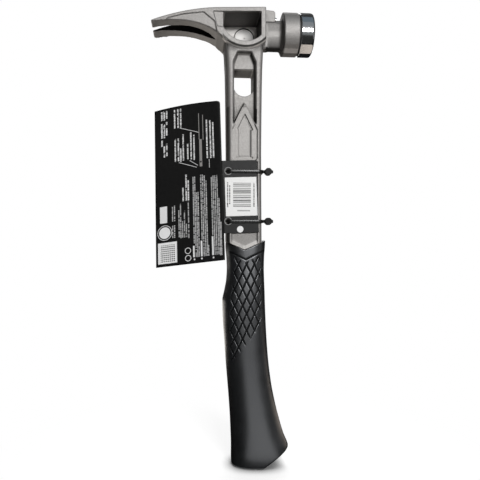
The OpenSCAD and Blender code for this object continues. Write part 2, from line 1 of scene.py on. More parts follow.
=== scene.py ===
import bpy
import functools
from math import atan2, cos, hypot, pi, radians, sin
import numpy as np
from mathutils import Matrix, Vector

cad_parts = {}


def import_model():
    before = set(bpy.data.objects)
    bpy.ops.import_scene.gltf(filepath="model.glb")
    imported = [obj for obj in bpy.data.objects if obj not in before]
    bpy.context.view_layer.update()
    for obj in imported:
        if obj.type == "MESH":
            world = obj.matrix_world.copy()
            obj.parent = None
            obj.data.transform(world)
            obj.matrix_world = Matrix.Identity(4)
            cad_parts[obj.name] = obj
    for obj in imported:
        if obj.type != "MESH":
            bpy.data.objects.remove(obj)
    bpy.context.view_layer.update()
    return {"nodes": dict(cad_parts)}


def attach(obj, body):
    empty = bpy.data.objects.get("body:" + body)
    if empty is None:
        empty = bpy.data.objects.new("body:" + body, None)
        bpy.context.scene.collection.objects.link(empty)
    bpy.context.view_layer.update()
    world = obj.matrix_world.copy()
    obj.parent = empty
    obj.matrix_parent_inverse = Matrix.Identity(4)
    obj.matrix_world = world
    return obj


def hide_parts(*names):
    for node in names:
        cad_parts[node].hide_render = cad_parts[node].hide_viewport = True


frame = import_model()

NODES = frame["nodes"]
MM = 0.001

# ---- meshes

# Points nearer than this are one, in metres, and edges sharper than this are rounded
WELD_GAP = 0.00001
SHARP_ANGLE = radians(30)


def add_mesh(name, verts, faces, slots=None):
    """A new smooth piece from points in millimetres. slots gives each face's material index."""
    me = bpy.data.meshes.new(name)
    me.from_pydata([tuple(float(c) * MM for c in v) for v in verts], [], faces)
    me.validate()
    me.update()
    me.polygons.foreach_set("use_smooth", [True] * len(me.polygons))
    if slots is not None:
        me.polygons.foreach_set("material_index", slots)
    ob = bpy.data.objects.new(name, me)
    bpy.context.scene.collection.objects.link(ob)
    return ob


def place(ob, body, slot, *materials):
    """Gives a piece its materials and the body that it rides on. The slot is not used."""
    for m in materials:
        ob.data.materials.append(m)
    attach(ob, body)


def modify(ob, kind, **settings):
    mod = ob.modifiers.new(kind.lower(), kind)
    for key, value in settings.items():
        setattr(mod, key, value)


def bevel(ob, width, segments=3):
    """Rounds the sharp edges, in millimetres, and keeps the flat faces flat in shading."""
    modify(ob, "BEVEL", width=width * MM, segments=segments, limit_method="ANGLE",
           angle_limit=SHARP_ANGLE, harden_normals=True)


def bake(ob):
    """Turns the object's modifiers into its mesh, and returns the mesh."""
    dg = bpy.context.evaluated_depsgraph_get()
    me = bpy.data.meshes.new_from_object(ob.evaluated_get(dg))
    ob.modifiers.clear()
    old = ob.data
    ob.data = me
    bpy.data.meshes.remove(old)
    return me


def points(me, what="co"):
    """The mesh's points, or their normals, as rows of three numbers."""
    out = np.empty(len(me.vertices) * 3)
    me.vertices.foreach_get(what, out)
    return out.reshape(-1, 3)


def loft(name, rings):
    """A piece stretched over rings of points, in millimetres. A ring of one point is a pole."""
    verts, ids = [], []
    for ring in rings:
        ids.append(range(len(verts), len(verts) + len(ring)))
        verts += ring
    count = max(len(ring) for ring in rings)
    faces = []
    for a, b in zip(ids, ids[1:]):
        for k in range(count):
            j = (k + 1) % count
            if len(a) == 1:
                faces.append((a[0], b[j], b[k]))
            elif len(b) == 1:
                faces.append((a[k], a[j], b[0]))
            else:
                faces.append((a[k], a[j], b[j], b[k]))
    return add_mesh(name, verts, faces)


def turned(profile, count, point):
    """Rings for loft(). profile is (along, radius) pairs, and point(along, radius, angle) places
    them."""
    return [[point(s, r, 2 * pi * k / count) for k in range(count if r else 1)]
            for s, r in profile]


def arc(count, first=0):
    """Angles over a quarter turn from the first (degrees) in count steps, both ends included."""
    return [radians(first + 90 * k / count) for k in range(count + 1)]


def ease(t):
    t = np.clip(t, 0, 1)
    return t * t * (3 - 2 * t)


def rise(v, start, width):
    """0 up to the start, and from there a soft rise to 1 over the width."""
    return ease((v - start) / width)


def band(v, low, high):
    return (v > low) & (v < high)


def hermite(xs, ys, x):
    """A smooth curve through the points that never overshoots them."""
    xs, ys = np.asarray(xs, float), np.asarray(ys, float)
    h = np.diff(xs)
    d = np.diff(ys) / h
    m = np.zeros(len(xs))
    for k in range(1, len(xs) - 1):
        if d[k - 1] * d[k] > 0:
            w0, w1 = 2 * h[k] + h[k - 1], h[k] + 2 * h[k - 1]
            m[k] = (w0 + w1) / (w0 / d[k - 1] + w1 / d[k])
    m[0], m[-1] = d[0], d[-1]
    x = np.asarray(x, float)
    i = np.clip(np.searchsorted(xs, x) - 1, 0, len(xs) - 2)
    t = np.clip((x - xs[i]) / h[i], 0, 1)
    return ((1 + 2 * t) * (1 - t) ** 2 * ys[i] + t * (1 - t) ** 2 * h[i] * m[i]
            + t * t * (3 - 2 * t) * ys[i + 1] + t * t * (t - 1) * h[i] * m[i + 1])


# ---- node trees


def grey(tone):
    return (tone,) * 3


class Tree:
    """A node tree that is built from small parts. A value is a socket, a number or a colour."""

    def __init__(self, tree):
        self.t = tree

    def node(self, kind, **props):
        n = self.t.nodes.new(kind)
        for key, value in props.items():
            setattr(n, key, value)
        return n

    def feed(self, socket, v):
        if isinstance(v, bpy.types.NodeSocket):
            self.t.links.new(v, socket)
        elif v is not None:
            socket.default_value = v

    def make(self, kind, *values, **props):
        """A new node with the values on its inputs, in order. It returns the first output."""
        n = self.node(kind, **props)
        for socket, v in zip(n.inputs, values):
            self.feed(socket, v)
        return n.outputs[0]

    def make_output(self, kind, shader):
        self.feed(self.node(kind).inputs["Surface"], shader)

    def math(self, op, *values, clamp=False):
        return self.make("ShaderNodeMath", *values, operation=op, use_clamp=clamp)

    def times(self, a, b):
        return self.math("MULTIPLY", a, b)

    def length(self, a, b):
        return self.math("SQRT", self.math("ADD", self.times(a, a), self.times(b, b)))

    def most(self, masks):
        """The masks joined."""
        return functools.reduce(lambda a, b: self.math("MAXIMUM", a, b), masks)

    def between(self, fac, a, b, lo=0.3, hi=0.7):
        """A number from a to b as fac goes from lo to hi."""
        return self.make("ShaderNodeMapRange", fac, lo, hi, a, b)

    def seen(self):
        """1 for rays that show a thing itself or its mirror image, and 0 for rays that light."""
        ray = self.node("ShaderNodeLightPath").outputs
        return self.most(ray[k] for k in ("Is Camera Ray", "Is Glossy Ray", "Is Transmission Ray"))


class Mat(Tree):
    """A material on the principled shader, whose own sockets the keywords set."""

    def __init__(self, name, **sockets):
        self.m = bpy.data.materials.new(name)
        self.m.use_nodes = True
        super().__init__(self.m.node_tree)
        self.bsdf = self.t.nodes["Principled BSDF"]
        for key, value in sockets.items():
            self.bsdf.inputs[key.replace("_", " ")].default_value = value
        self.co = self.node("ShaderNodeTexCoord").outputs["Object"]

    def shade(self, colour=None, rough=None, normal=None):
        for name, v in (("Base Color", colour), ("Roughness", rough), ("Normal", normal)):
            self.feed(self.bsdf.inputs[name], v)
        return self.m

    def noise(self, scale, detail=2.0, rough=0.5, at=None, stretch=None):
        v = at or self.co
        if stretch:
            g = self.node("ShaderNodeMapping")
            g.inputs["Scale"].default_value = stretch
            self.feed(g.inputs["Vector"], v)
            v = g.outputs[0]
        n = self.node("ShaderNodeTexNoise")
        for key, value in (("Vector", v), ("Scale", scale), ("Detail", detail),
                           ("Roughness", rough)):
            self.feed(n.inputs[key], value)
        return n.outputs["Fac"]

    def tint(self, fac, a, b):
        """The colour a where fac is 0, and b where it is 1."""
        n = self.node("ShaderNodeMix", data_type="RGBA")
        self.feed(n.inputs[0], fac)
        for socket, v in ((n.inputs[6], a), (n.inputs[7], b)):
            self.feed(socket, v if isinstance(v, bpy.types.NodeSocket) else (*v, 1))
        return n.outputs[2]

    def bump(self, height, distance, strength, normal=None):
        n = self.node("ShaderNodeBump")
        for key, value in (("Strength", strength), ("Distance", distance), ("Height", height),
                           ("Normal", normal)):
            self.feed(n.inputs[key], value)
        return n.outputs[0]

    def attribute(self, name):
        return self.node("ShaderNodeAttribute", attribute_name=name).outputs["Fac"]

    def split(self, v):
        n = self.node("ShaderNodeSeparateXYZ")
        self.feed(n.inputs[0], v)
        return n.outputs

    def join(self, a, b):
        return self.make("ShaderNodeCombineXYZ", a, b)

    def in_mm(self):
        """x, y and z in the shared frame, in millimetres."""
        return [self.times(v, 1 / MM) for v in self.split(self.co)]


# ---- print and marks

MARK_INPUTS = ("u", "v", "u0", "v0", "cos", "sin", "half_u", "half_v")
# A mark's edge is soft over a quarter of a millimetre
EDGE_SLOPE = -4.0


def mark_group():
    """A soft-edged bar: 1 inside, 0 outside, turned by an angle."""
    g = bpy.data.node_groups.new("print_bar", "ShaderNodeTree")
    for n in MARK_INPUTS:
        g.interface.new_socket(n, in_out="INPUT", socket_type="NodeSocketFloat")
    g.interface.new_socket("mask", in_out="OUTPUT", socket_type="NodeSocketFloat")
    i = g.nodes.new("NodeGroupInput").outputs
    o = g.nodes.new("NodeGroupOutput").inputs
    t = Tree(g)
    du, dv = t.math("SUBTRACT", i["u"], i["u0"]), t.math("SUBTRACT", i["v"], i["v0"])
    a = t.math("ADD", t.times(du, i["cos"]), t.times(dv, i["sin"]))
    b = t.math("SUBTRACT", t.times(dv, i["cos"]), t.times(du, i["sin"]))
    d = t.most(t.math("SUBTRACT", t.math("ABSOLUTE", v), i[half])
               for v, half in ((a, "half_u"), (b, "half_v")))
    t.feed(o["mask"], t.math("MULTIPLY_ADD", d, EDGE_SLOPE, 0.5, clamp=True))
    return g


BAR = mark_group()


class Print:
    """Generic marks on a surface, placed in millimetres (u, v)."""

    def __init__(self, mat, u, v):
        self.k, self.u, self.v = mat, u, v

    def bar(self, u0, v0, half_u, half_v, turn=0.0):
        n = self.k.node("ShaderNodeGroup", node_tree=BAR)
        values = (self.u, self.v, u0, v0, cos(turn), sin(turn), half_u, half_v)
        for name, v in zip(MARK_INPUTS, values):
            self.k.feed(n.inputs[name], v)
        return n.outputs[0]

    def line(self, a, b, width):
        du, dv = b[0] - a[0], b[1] - a[1]
        return self.bar((a[0] + b[0]) / 2, (a[1] + b[1]) / 2,
                        hypot(du, dv) / 2, width / 2, atan2(dv, du))

    def columns(self, rows, half):
        """Upright bars: (u, lower end, upper end) each."""
        return self.k.most([self.bar(u, (lo + hi) / 2, half, (hi - lo) / 2) for u, lo, hi in rows])

    def round(self, u0, v0, r, width=None):
        """A spot, or a ring of the width."""
        k = self.k
        d = k.length(k.math("SUBTRACT", self.u, u0), k.math("SUBTRACT", self.v, v0))
        d = k.math("SUBTRACT", d, r)
        if width:
            d = k.math("SUBTRACT", k.math("ABSOLUTE", d), width / 2)
        return k.math("MULTIPLY_ADD", d, EDGE_SLOPE, 0.5, clamp=True)


# ---- materials

# Painted shadow along the lines of the name field: (strength, lines from, to and width) in x and z
FIELD_SHADOW_LINES = (
    (0.97, (((0.3, 345.2), (8.1, 329.6), 0.9), ((6.0, 329.5), (8.3, 329.5), 0.5))),
    (0.85, (((5.75, 329.5), (5.75, 303.6), 0.7), ((5.6, 303.4), (8.1, 303.2), 0.7),
            ((8.0, 303.4), (7.7, 301.6), 0.7))),
    (0.55, (((0.3, 344.8), (-6.3, 331.6), 0.6), ((-8.9, 335.2), (-11.6, 330.2), 0.6),
            ((10.4, 334.4), (12.5, 329.8), 0.8), ((12.45, 329.8), (12.4, 302.2), 0.7),
            ((-5.0, 303.2), (-8.4, 303.2), 0.5))))
# Nothing of the field is drawn behind this y
FIELD_FRONT_Y = -14.0
# Turned seat, in metres: pitch of its rings, and radius, edge and soft edge of the painted shadow
# in its groove
SEAT_PITCH = 0.00042
SEAT_GROOVE, GROOVE_HALF, GROOVE_SOFT = 0.0098, 0.0006, 0.001


def titanium():
    m = Mat("blasted_titanium", Metallic=0.85)
    broad = m.noise(38, 3, 0.6)
    fine = m.noise(900, 3, 0.6)
    speck = m.noise(3200, 2, 0.6)
    skin = m.tint(m.between(broad, 0, 1), (0.375, 0.362, 0.35), (0.425, 0.412, 0.40))
    skin = m.tint(m.between(fine, 0, 0.4, 0.35, 0.65), skin, (0.30, 0.29, 0.28))
    # Painted shade: the skin darkens in corners and recesses that the occlusion node finds
    corner = m.node("ShaderNodeAmbientOcclusion", samples=6, only_local=True)
    corner.inputs["Distance"].default_value = 0.012
    unshaded_share = m.between(corner.outputs["AO"], 0, 1, 0.08, 0.72)
    skin = m.tint(unshaded_share, (0.03, 0.028, 0.026), skin)
    # The scale attribute is painted light and shade: it brightens the skin where it is below 0,
    # and blackens it above
    scale = m.attribute("scale")
    skin = m.tint(m.between(scale, 1, 0, -1, 0), skin, (0.93, 0.905, 0.88))
    x, y, z = m.in_mm()
    # Painted shadow lines along the edges of the name field's raised shapes
    field = Print(m, x, z)
    field_shadow = m.most(m.times(m.most(field.line(*q) for q in lines), strength)
                  for strength, lines in FIELD_SHADOW_LINES)
    field_shadow = m.times(field_shadow, m.math("LESS_THAN", y, FIELD_FRONT_Y))
    skin = m.tint(field_shadow, skin, (0.012, 0.011, 0.010))
    skin = m.tint(m.between(scale, 0, 1, 0, 1), skin, (0.008, 0.0075, 0.007))
    grain = m.bump(fine, 0.00012, 0.35, m.bump(speck, 0.00009, 0.5))
    return m.shade(skin, m.between(fine, 0.58, 0.70), grain)


def seat_metal():
    """Turned metal: fine rings round the seat's centre, and a painted shadow in its one groove."""
    m = Mat("turned_seat", Metallic=0.4)
    x, _, z = m.split(m.co)
    r = m.length(m.math("SUBTRACT", x, SEAT[0] * MM), m.math("SUBTRACT", z, SEAT[1] * MM))
    rings = m.math("SINE", m.times(r, 2 * pi / SEAT_PITCH))
    grit = m.noise(1500, 2)
    off_groove = m.math("ABSOLUTE", m.math("SUBTRACT", r, SEAT_GROOVE))
    skin = m.tint(m.between(grit, 0, 1), (0.68, 0.665, 0.65), (0.78, 0.765, 0.75))
    # Painted shadow: the groove goes near black
    groove = m.between(off_groove, 1, 0, GROOVE_HALF, GROOVE_SOFT)
    skin = m.tint(groove, skin, (0.005, 0.0048, 0.0045))
    turning = m.bump(m.math("ADD", m.times(rings, 0.5), grit), 0.00003, 0.6)
    return m.shade(skin, m.between(grit, 0.5, 0.62), turning)


def rubber(name, gloss, coat=0.0):
    """Dark rubber, dull in its grooves, whose colour is painted black as painted shade."""
    m = Mat(name, Specular_IOR_Level=gloss, Specular_Tint=(0.93, 0.955, 1.0, 1.0),
            Coat_Weight=coat, Coat_Roughness=0.36)
    broad = m.noise(55, 3, 0.6)
    grain = m.noise(2600, 3, 0.6)
    deep = m.attribute("groove")
    skin = m.tint(m.between(broad, 0, 1), (0.010, 0.0106, 0.0115), (0.015, 0.0158, 0.017))
    rough = m.math("MULTIPLY_ADD", deep, 0.5, m.between(broad, 0.31, 0.38))
    # Painted shade: black in the grooves, by their depth
    return m.shade(m.tint(deep, skin, grey(0.001)), rough, m.bump(grain, 0.00006, 0.5))


def steel(name, colour, rough, pitch):
    """Turned steel: fine grooves along the striking axis."""
    m = Mat(name, Metallic=1.0)
    x = m.split(m.co)[0]
    wobble = m.noise(240, 2)
    lines = m.math("SINE", m.math("MULTIPLY_ADD", x, 2 * pi / pitch, m.times(wobble, 5)))
    streak = m.noise(300, 3, 0.6, stretch=(14, 1, 1))
    return m.shade(m.tint(m.between(streak, 0, 1), tuple(c * 0.9 for c in colour), colour),
                   m.between(streak, rough * 0.8, rough * 1.3),
                   m.bump(m.math("ADD", m.times(lines, 0.4), streak), 0.000012, 0.5))


def washer_rubber():
    m = Mat("washer_rubber")
    g = m.noise(1800, 3)
    return m.shade(m.tint(m.between(g, 0, 1), grey(0.010), grey(0.020)),
                   m.between(g, 0.5, 0.65), m.bump(g, 0.00004, 0.5))


def nylon(name, gloss, rough):
    m = Mat(name, Specular_IOR_Level=gloss)
    g = m.noise(420, 3)
    return m.shade(m.tint(m.between(g, 0, 1), grey(0.003), grey(0.007)),
                   m.between(g, rough, rough + 0.1), m.bump(m.noise(1500, 2), 0.00003, 0.4))


def card(name, tone):
    """Coated card with a fine fibre grain. It returns the builder and the plain colour."""
    m = Mat(name, Specular_IOR_Level=0.16)
    fibre = m.noise(700, 4, 0.6, stretch=(1, 1, 0.4))
    base = m.tint(m.between(fibre, 0, 1), grey(tone * 0.85), grey(tone * 1.15))
    m.shade(base, m.between(fibre, 0.42, 0.55), m.bump(fibre, 0.00003, 0.5))
    return m, base


# ---- sizes in millimetres
# These repeat the CAD's own values, because this script reads only the frame.

AXIS_Z = 429.4
# Centre of the cheek's round rim
RIM_Z = AXIS_Z + 7.82
POLL_R = 21.2
FLAT_R = 20.45
FACE_X, STRIKE_X = 55.7, 70.1
FLATS = [s + t for s in (90, -90) for t in (-31, 0, 31)]
# Turned seat in the pocket: x and z of its centre, and y of the pocket's floor
SEAT = (2.6, 430.87)
SEAT_Y = 16.6
GRIP_H, GRIP_W, GRIP_T = 221.2, 36.2, 37.6
NOTCH_H = 8.0
TOE_FOOT, TOE_REACH, TOE_H = 18.59, 44.8, 17.4
FOLD_X, FOLD_Y, FLAP_Z = -21.375, -17.95, 264.2
CARD_T, LABEL_T = 0.9, 0.3
SHAFT_W, SHAFT_T = 33.3, 35.0
TIES = (289.3, 241.0)
# Half width of the nail slot from the throat to the tips
SLOT_X = [27.5 + 62.1 * t for t in (0, 0.09, 0.19, 0.3, 0.42, 0.56, 0.7, 0.84, 1.06)]
SLOT_HALF = [7.2 * t for t in (0.06, 0.66, 0.86, 0.98, 1, 0.9, 0.79, 0.65, 0.56)]


# ---- casting

# Size of the remesh, in metres, and the share of its faces that stays
VOXEL, KEPT_SHARE = 0.00055, 0.4
# Plate sunk round the name field: half width, foot, shoulders at the edge and their slope
PLATE_HALF, PLATE_LOW, PLATE_SHOULDER, PLATE_SLOPE = 12.4, 299.6, 329.7, 2.1
# Length of the shoulders' slope over 1 mm of width
PLATE_SLOPE_RUN = 2.33
PLATE_CORNER = 2.2
PLATE_DEPTH = 0.65
# Far claw: x of its panel's ends, y of its side, and height of its plain lower edge
CLAW_X0, CLAW_X1 = -76, -36
CLAW_SIDE_Y = 21.45
CLAW_EDGE = 2.0
# Neck: top of its leaning sides, how far down they lean, and by how much
NECK_TOP, NECK_DROP, NECK_LEAN = 429, 16, 2.4
NECK_HALF = 9.6
# Nail slot: x of its throat's end and of its start
THROAT_END, SLOT_START = -40, -27


def late_cuts(x, y, z):
    """How far each point of the casting moves along y, in millimetres."""
    ax, ay = np.abs(x), np.abs(y)
    # Plate round the name field, with its lower corners cut
    in_side, in_foot = PLATE_HALF - ax, z - PLATE_LOW
    in_top = (PLATE_SHOULDER + PLATE_SLOPE * in_side - z) / PLATE_SLOPE_RUN
    inside = np.minimum.reduce([in_side, in_foot, in_top, in_foot + in_side - PLATE_CORNER])
    plate = PLATE_DEPTH * rise(inside, -0.3, 0.6) * (y < -17.0) * band(z, 298, 352)
    # The far claw keeps a plain lower edge under its side panel
    far = (y > 19.6) & band(x, CLAW_X0, CLAW_X1)
    count = CLAW_X1 - CLAW_X0
    bins = np.clip((x - CLAW_X0).astype(int), 0, count - 1)
    none = 1e9
    lowest = np.full(count, none)
    np.minimum.at(lowest, bins[far], z[far])
    lowest = np.where(lowest == none, 400, lowest)
    lift = z - np.interp(x, CLAW_X0 + 0.5 + np.arange(count), lowest)
    ends = rise(x, CLAW_X0, 0.8) * rise(-x, -CLAW_X1, 5)
    claw = (CLAW_SIDE_Y - y) * rise(-lift, -CLAW_EDGE, 0.9) * ends * far
    # The neck's sides round off towards its underside
    t = np.clip((NECK_TOP - z) / NECK_DROP, 0, 1)
    on_neck = rise(x, 23, 3) * rise(-x, -38.5, 3) * band(z, 410, NECK_TOP) * (ay < NECK_HALF)
    neck = -np.sign(y) * NECK_LEAN * t ** 2 * on_neck * np.clip(ay / 7, 0, 1)
    return plate + claw + neck


def painted_casting_shade(x, y, z, nx, ny, nz):
    """Each point's painted shade and light by its place in millimetres and the way it faces: 1 is
    full painted shade, near black, 0 is the plain skin and -1 is full painted light, bright metal."""
    ax, ay = np.abs(x), np.abs(y)
    # Painted shade in the nail slot and its throat, on the pocket's walls and ceiling, under and
    # on top of the neck, and on the collar's back
    half = np.interp(-x, SLOT_X, SLOT_HALF)
    slot = rise(-ny * np.sign(y), 0.25, 0.4) * (ay < half + 0.5) * (x < SLOT_START)
    throat = rise(-nx, 0.75, 0.15) * (ay < half + 0.4) * band(x, THROAT_END, SLOT_START)
    in_pocket = band(x, -18.5, 18.5) & band(y, -18.6, 15.6) & band(z, 408, 448)
    pocket = in_pocket * np.maximum.reduce([0.95 * rise(-nx, 0.4, 0.3) * (x > 8),
                                            0.55 * rise(-nz, 0.4, 0.3),
                                            0.6 * rise(nx, 0.4, 0.3)])
    neck_under = 0.93 * rise(-nz, 0.25, 0.3) * (x > 22.5) * rise(-x, -41, 2) * (z < 428)
    neck_top = 0.32 * rise(z, 427.8, 3) * band(x, 24, 37) * (z < 438) * (ay < NECK_HALF)
    collar_back = 0.6 * rise(-nx, 0.4, 0.4) * band(x, 30, 43)
    # Painted shade on the walls of the handle's sunk panels, of the claws' side panels and of the
    # name field's plate, with painted light on some top walls
    wall = rise(-np.abs(ny), -0.8, 0.3)
    sunk = 0.75 * wall * (rise(-nx, 0.2, 0.3) + 0.6 * rise(-nz, 0.2, 0.3)) * (ax < 14.5)
    top_wall = (1.25 * rise(-y, 11.5, 4.5) - 0.45) * wall * rise(-nz, 0.2, 0.3)
    sunk = np.where(-nz > np.abs(nx), top_wall, sunk)
    sunk = np.clip(sunk, -0.5, 0.8) * band(z, 330, 412) * band(y, -15.6, -6)
    sides = 0.6 * wall * (x < -20) * band(ay, 20.0, 21.3) * (z > 436)
    plate = 0.88 * rise(-nx, 0.1, 0.3) * (ax < 13.4) * band(z, 298, 350) * (y < -15.8)
    # Painted shade on the handle's flank towards the claws, and on its front just above the grip
    flank = (0.55 + 0.3 * rise(-z, -270, 20)) * rise(-nx, 0.2, 0.5)
    flank = flank * band(z, 205, 352) * (y < -8) * (x < -8)
    low = 0.22 * band(z, 212, 262) * band(y, -16.9, -14) * rise(-ny, 0.9, 0.08)
    scale = np.maximum.reduce([slot, throat, pocket, neck_under, neck_top, collar_back,
                               sunk, sides, plate, flank, low])
    # Under the rim of the cheek: painted shade at the edge, a painted highlight in the fillet's
    # foot, painted shade on the handle
    r = np.hypot(x, z - RIM_Z)
    under_rim = rise(-z, -426, 4) * (ax < 21.5) * (ay > 16.5)
    edge = 0.8 * rise(r, 26.7, 0.5) * (1 - rise(r, 28.2, 0.7))
    foot = 0.85 * rise(r, 28.4, 0.6) * (1 - rise(r, 29.9, 0.5)) * rise(-nz, 0.2, 0.3)
    shade = (0.2 + 0.4 * rise(ax, 4, 8)) * (1 - rise(r, 29.8, 6.5)) * rise(r, 29.3, 0.4)
    shade = shade * (ny < -0.3)
    scale = np.maximum(scale, np.maximum(edge, shade) * under_rim) - foot * under_rim
    scale += np.minimum(sunk, 0)
    # Painted light on the pocket's floor, and a painted highlight on the upward-facing slope above
    # the grip
    on_floor = rise(x, -20, 3) * rise(-x, -17, 3) * band(y, 13, 20) * band(z, 405, 446)
    scale -= (0.3 + 0.7 * rise(z, 430, 9)) * rise(-ny, 0.6, 0.3) * on_floor
    slope = rise(nz, 0.12, 0.25) * rise(-ny, 0.2, 0.3) * band(z, 210, 232) * (y < -14)
    return scale - (0.2 + 0.45 * rise(x, -3, 6)) * slope


def casting():
    """The cast head and handle: the CAD's solid with the soft edges of a blasted casting."""
    ob = bpy.data.objects.new("casting", NODES["head_and_handle"].data.copy())
    bpy.context.scene.collection.objects.link(ob)
    modify(ob, "WELD", merge_threshold=WELD_GAP)
    modify(ob, "REMESH", mode="VOXEL", voxel_size=VOXEL)
    modify(ob, "SMOOTH", factor=0.5, iterations=5)
    me = bake(ob)
    co = points(me) / MM
    co[:, 1] += late_cuts(*co.T)
    me.vertices.foreach_set("co", (co * MM).ravel())
    me.polygons.foreach_set("use_smooth", [True] * len(me.polygons))
    me.update()
    modify(ob, "DECIMATE", ratio=KEPT_SHARE)
    me = bake(ob)
    # Painted shade and light on the casting, kept on its points as the scale attribute
    scale = painted_casting_shade(*points(me).T / MM, *points(me, "normal").T)
    me.attributes.new("scale", "FLOAT", "POINT").data.foreach_set("value", scale)
    me.materials.clear()
    place(ob, "hammer", "cast_metal", titanium())
    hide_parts("head_and_handle")


def pocket_seat():
    """The turned seat on the pocket's floor, with a groove round it and a dimple in its middle."""
    # Depth under the floor and radius
    prof = [(0.75, 10.75), (0.08, 10.75), (0.0, 10.65), (0.0, 10.5), (0.0, 9.9), (0.03, 9.85),
            (0.8, 9.75), (0.8, 9.0), (0.03, 8.9), (0.0, 8.85), (0.0, 8.7), (0.0, 1.2), (0.0, 1.0),
            (0.03, 0.9), (0.3, 0.8), (0.7, 0.3), (0.75, 0)]
    ob = loft("pocket_seat", turned(prof, 120, lambda depth, r, a: (
        SEAT[0] + r * cos(a), SEAT_Y + depth, SEAT[1] + r * sin(a))))
    place(ob, "hammer", "cast_metal", seat_metal())


casting()
pocket_seat()


# ---- striking face

# Radius of the bevel, its reach along the axis, and the crown of the face
BEVEL_R, BEVEL_REACH, CROWN = 3.4, 2.72, 1.0
# A flat cuts only where the cosine of the angle to its middle is above this
FLAT_COS = 0.5


def face_point(x, r, a):
    """A point of the striking face, cut back to the flats."""
    for f in FLATS:
        c = cos(a - radians(f))
        if c > FLAT_COS:
            r = min(r, FLAT_R / c)
    return (x, r * cos(a), AXIS_Z + r * sin(a))


def striking_face():
    bevel_x = STRIKE_X - CROWN - BEVEL_REACH
    prof = [(FACE_X, 0), (FACE_X, 20.2), (FACE_X + 0.1, 20.8), (FACE_X + 0.3, 21.08),
            (FACE_X + 0.45, POLL_R), (FACE_X + 0.6, POLL_R), (FACE_X + 4, POLL_R),
            (bevel_x - 0.6, POLL_R)]
    prof += [(bevel_x + BEVEL_REACH * sin(a), POLL_R - BEVEL_R * (1 - cos(a)))
             for a in arc(10)]
    prof += [(STRIKE_X - CROWN * (r / (POLL_R - BEVEL_R)) ** 2, r)
             for r in (16.5, 14, 11, 8, 5, 2.5, 0)]
    ob = loft("striking_face_steel", turned(prof, 288, face_point))
    place(ob, "face", "face_steel", steel("polished_steel", (0.56, 0.57, 0.585), 0.13, 0.00022))
    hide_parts("striking_face")


def dress(node, width, material):
    """Rounds the edges of a CAD piece that is shown as it is, and gives it its material."""
    ob = NODES[node]
    modify(ob, "WELD", merge_threshold=WELD_GAP)
    bevel(ob, width)
    ob.data.materials.clear()
    ob.data.materials.append(material)


striking_face()
dress("lock_washer", 0.2, washer_rubber())
dress("face_stud", 0.4, steel("stud_steel", (0.42, 0.42, 0.43), 0.3, 0.0008))
dress("nail_magnet", 0.35, steel("plated_magnet", (0.62, 0.61, 0.60), 0.22, 0.0006))


# ---- grip

# Height, left side and right side at each row, as shares of the grip's height and half width
GRIP_ROWS = [(0, -0.66, 2.72), (0.045, -0.675, 2.6), (0.085, -0.67, 2.48), (0.14, -0.69, 2.21),
             (0.2, -0.72, 1.99), (0.28, -0.78, 1.74), (0.37, -0.865, 1.525), (0.47, -0.965, 1.37),
             (0.57, -1.045, 1.275), (0.65, -1.115, 1.225), (0.735, -1.145, 1.185),
             (0.78, -1.04, 1.17), (0.83, -0.93, 1.145), (0.88, -0.895, 1.13),
             (0.93, -0.92, 1.145), (0.98, -0.97, 1.19), (1, -0.965, 1.2)]
GRIP_COLS, GRIP_LEVELS = 260, 430
# The grip thins towards its top: from this height, over this height, by this share
THIN_FROM, THIN_OVER, THIN_BY = 160, 46, 0.07
# Half the width and half the thickness that set the columns' distances
COLUMN_X, COLUMN_Y = 17.5, 18
# Rounded upper lip and lower edge
LIP, FOOT_EDGE = 0.7, 2.6
# The section's superellipse: round on the claws' side, squarer on the face's side
ROUND_SIDE, SQUARE_SIDE = 2.35, 3.0
# Diamonds: size of one, middle of one, distance between two grooves, and half width and depth
# of a groove
DIAMOND_W, DIAMOND_H, DIAMOND_X, DIAMOND_Z = 7.9, 15.97, 1.75, 191.2
DIAMOND_STEP, LATTICE_HALF, LATTICE_DEPTH = 7, 0.9, 0.75
# The lattice's left limit by height, its right limit, and its lower limit's height and slope
LATTICE_LEFT = ((150, 172, 190), (-14.6, -13.4, -11.4))
LATTICE_RIGHT, LATTICE_LOW, LATTICE_SLOPE = 16.6, 107, 1.31
# V groove under the notch: height of its tip, its half width and its depth
V_TIP_Z, V_HALF, V_DEPTH = 204.0, 0.75, 0.55


def section_power(c):
    return 2 / np.where(c < 0, ROUND_SIDE, SQUARE_SIDE)


def grip_columns():
    """The angles of the grip's columns, at even distances round its section."""
    fine = np.linspace(0, np.pi, 6001)
    c, s = np.cos(fine), np.sin(fine)
    x, y = np.sign(c) * np.abs(c) ** section_power(c), np.abs(s) ** section_power(c)
    run = np.concatenate([[0], np.cumsum(np.hypot(np.diff(x * COLUMN_X), np.diff(y * COLUMN_Y)))])
    half = GRIP_COLS // 2
    th = np.interp(np.arange(half + 1) / half * run[-1], run, fine)
    return np.concatenate([th, -th[-2:0:-1]])


GRIP_TH = grip_columns()


def grip_section(z, inset=0.0):
    """x and y of the outer surface, with one height z for every column."""
    share, left, right = np.array(GRIP_ROWS).T
    left = hermite(share * GRIP_H, left * GRIP_W / 2, z) + inset
    right = hermite(share * GRIP_H, right * GRIP_W / 2, z) - inset
    depth = GRIP_T / 2 * (1 - THIN_BY * rise(z, THIN_FROM, THIN_OVER)) - inset
    c, s = np.cos(GRIP_TH), np.sin(GRIP_TH)
    x = (left + right) / 2 + (right - left) / 2 * np.sign(c) * np.abs(c) ** section_power(c)
    return x, depth * np.sign(s) * np.abs(s) ** section_power(c)


def grip_top(x):
    return GRIP_H - NOTCH_H + NOTCH_H * np.abs(x) * 2 / GRIP_W - 0.12


def grip_foot(x):
    return np.maximum(0, (x - TOE_FOOT) * TOE_H / (TOE_REACH - TOE_FOOT))


